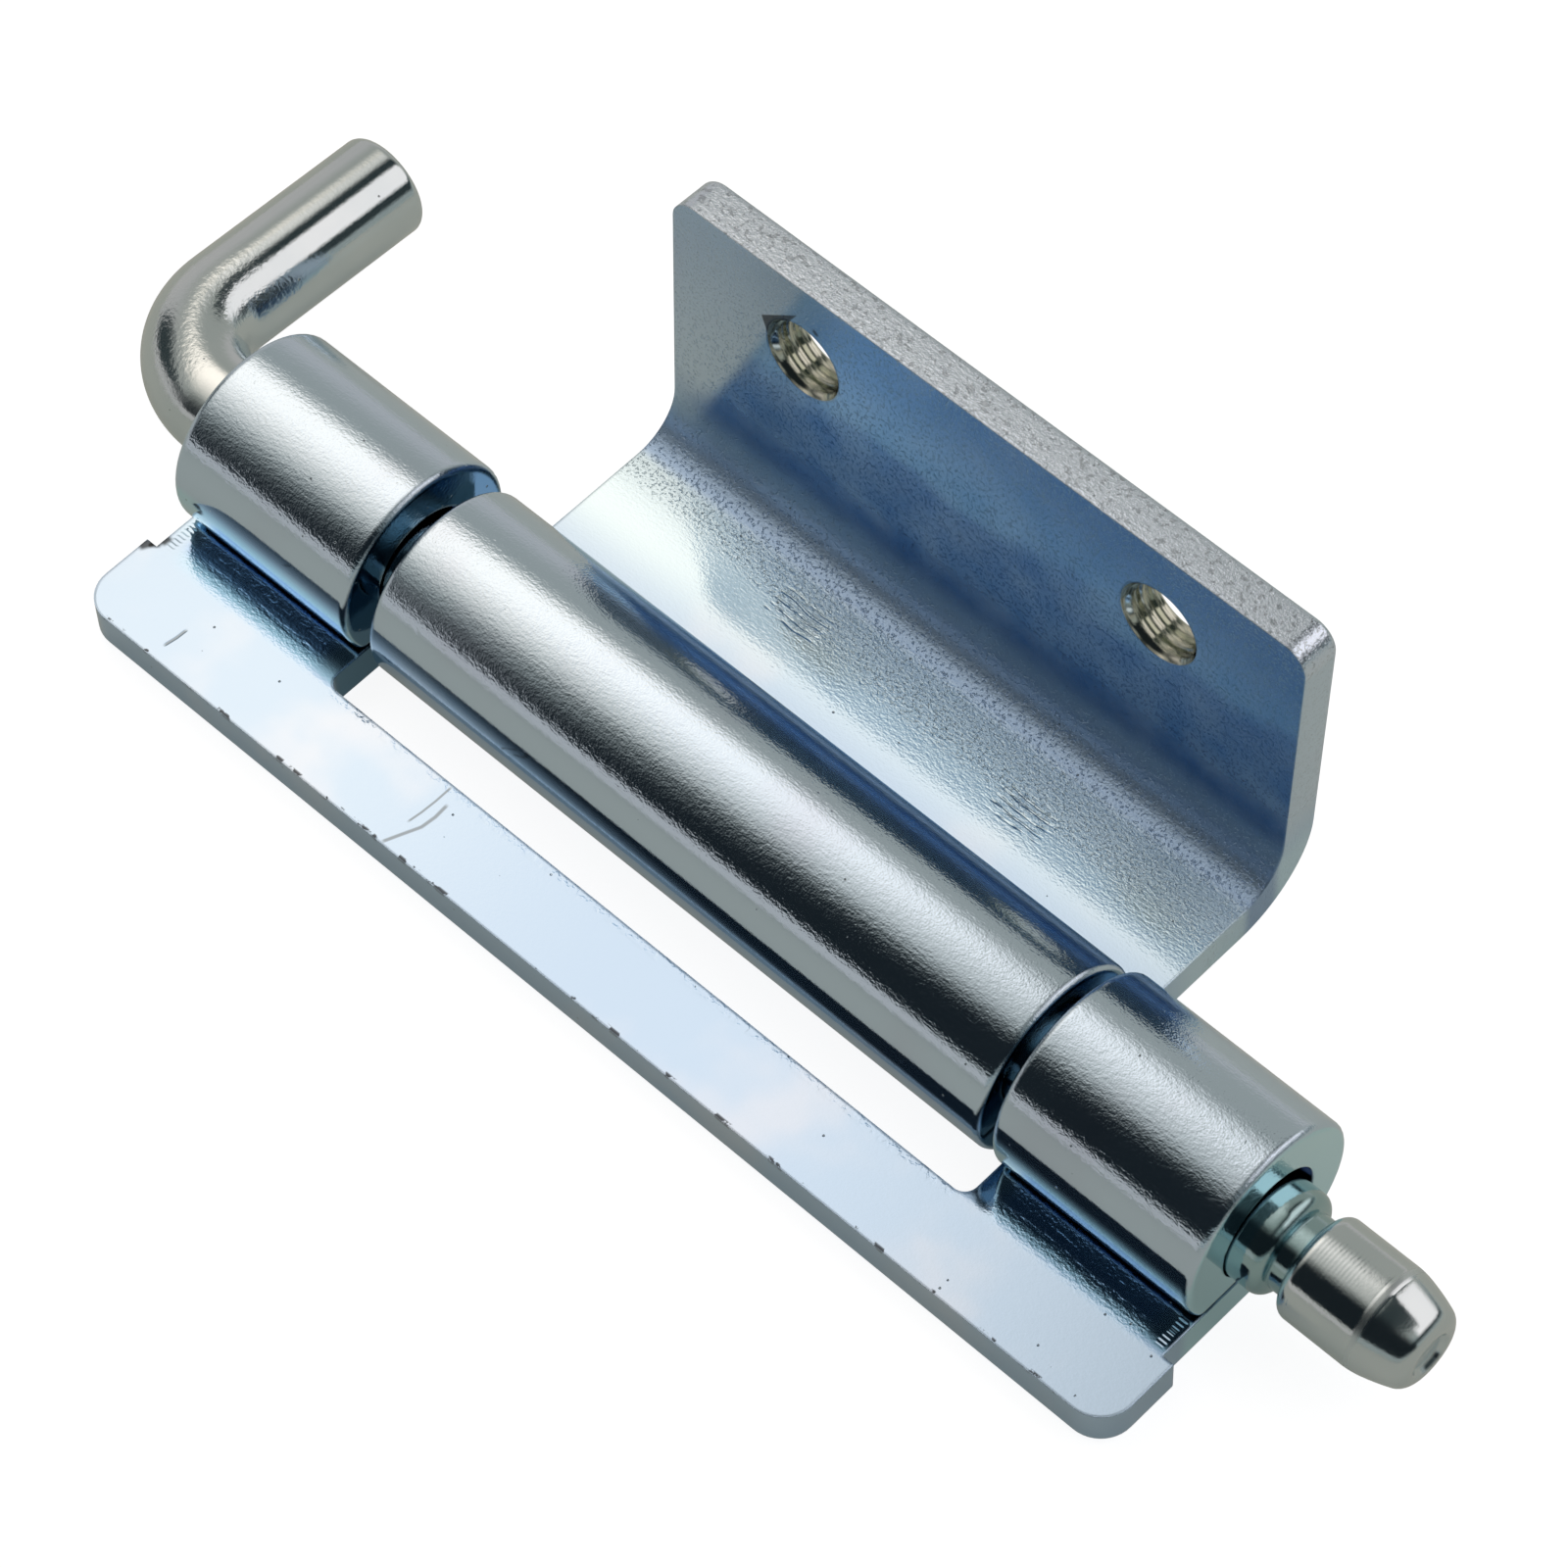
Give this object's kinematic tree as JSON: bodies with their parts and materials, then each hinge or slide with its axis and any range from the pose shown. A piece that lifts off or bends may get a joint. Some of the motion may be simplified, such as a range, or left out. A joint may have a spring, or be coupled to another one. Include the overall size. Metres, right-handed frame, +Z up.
{
  "type": "weld-on hinge",
  "caption": "Rolled sheet steel hinge with a weld-on frame leaf, an angled door leaf with tapped holes, and a pull-out pin with a bent handle.",
  "frame": {"origin": "centre of the weld strip's underside, the face that is welded to the frame", "axes": "+X along the hinge pin towards its nose, +Y from the frame leaf to the door leaf, +Z up from the weld face, with the leaves opened flat"},
  "size_m": [0.0914, 0.0327, 0.0209],
  "materials": {
    "frame_zinc": "blue-white zinc plate",
    "door_zinc": "blue-white zinc plate",
    "pin_zinc": "bright zinc plate"
  },
  "bodies": {
    "frame": {"frame_leaf": "frame_zinc"},
    "door": {"door_leaf": "door_zinc"},
    "pin": {"hinge_pin": "pin_zinc"}
  },
  "joints": [
    {"name": "door_swing", "type": "hinge", "parent": "frame", "child": "door", "pos_m": [0, 0.00983, 0.00566], "axis": [1, 0, 0], "range_deg": [-104, 207]},
    {"name": "pin_pull", "type": "slide", "parent": "frame", "child": "pin", "axis": [-1, 0, 0], "range_m": [0, 0.082]}
  ]
}
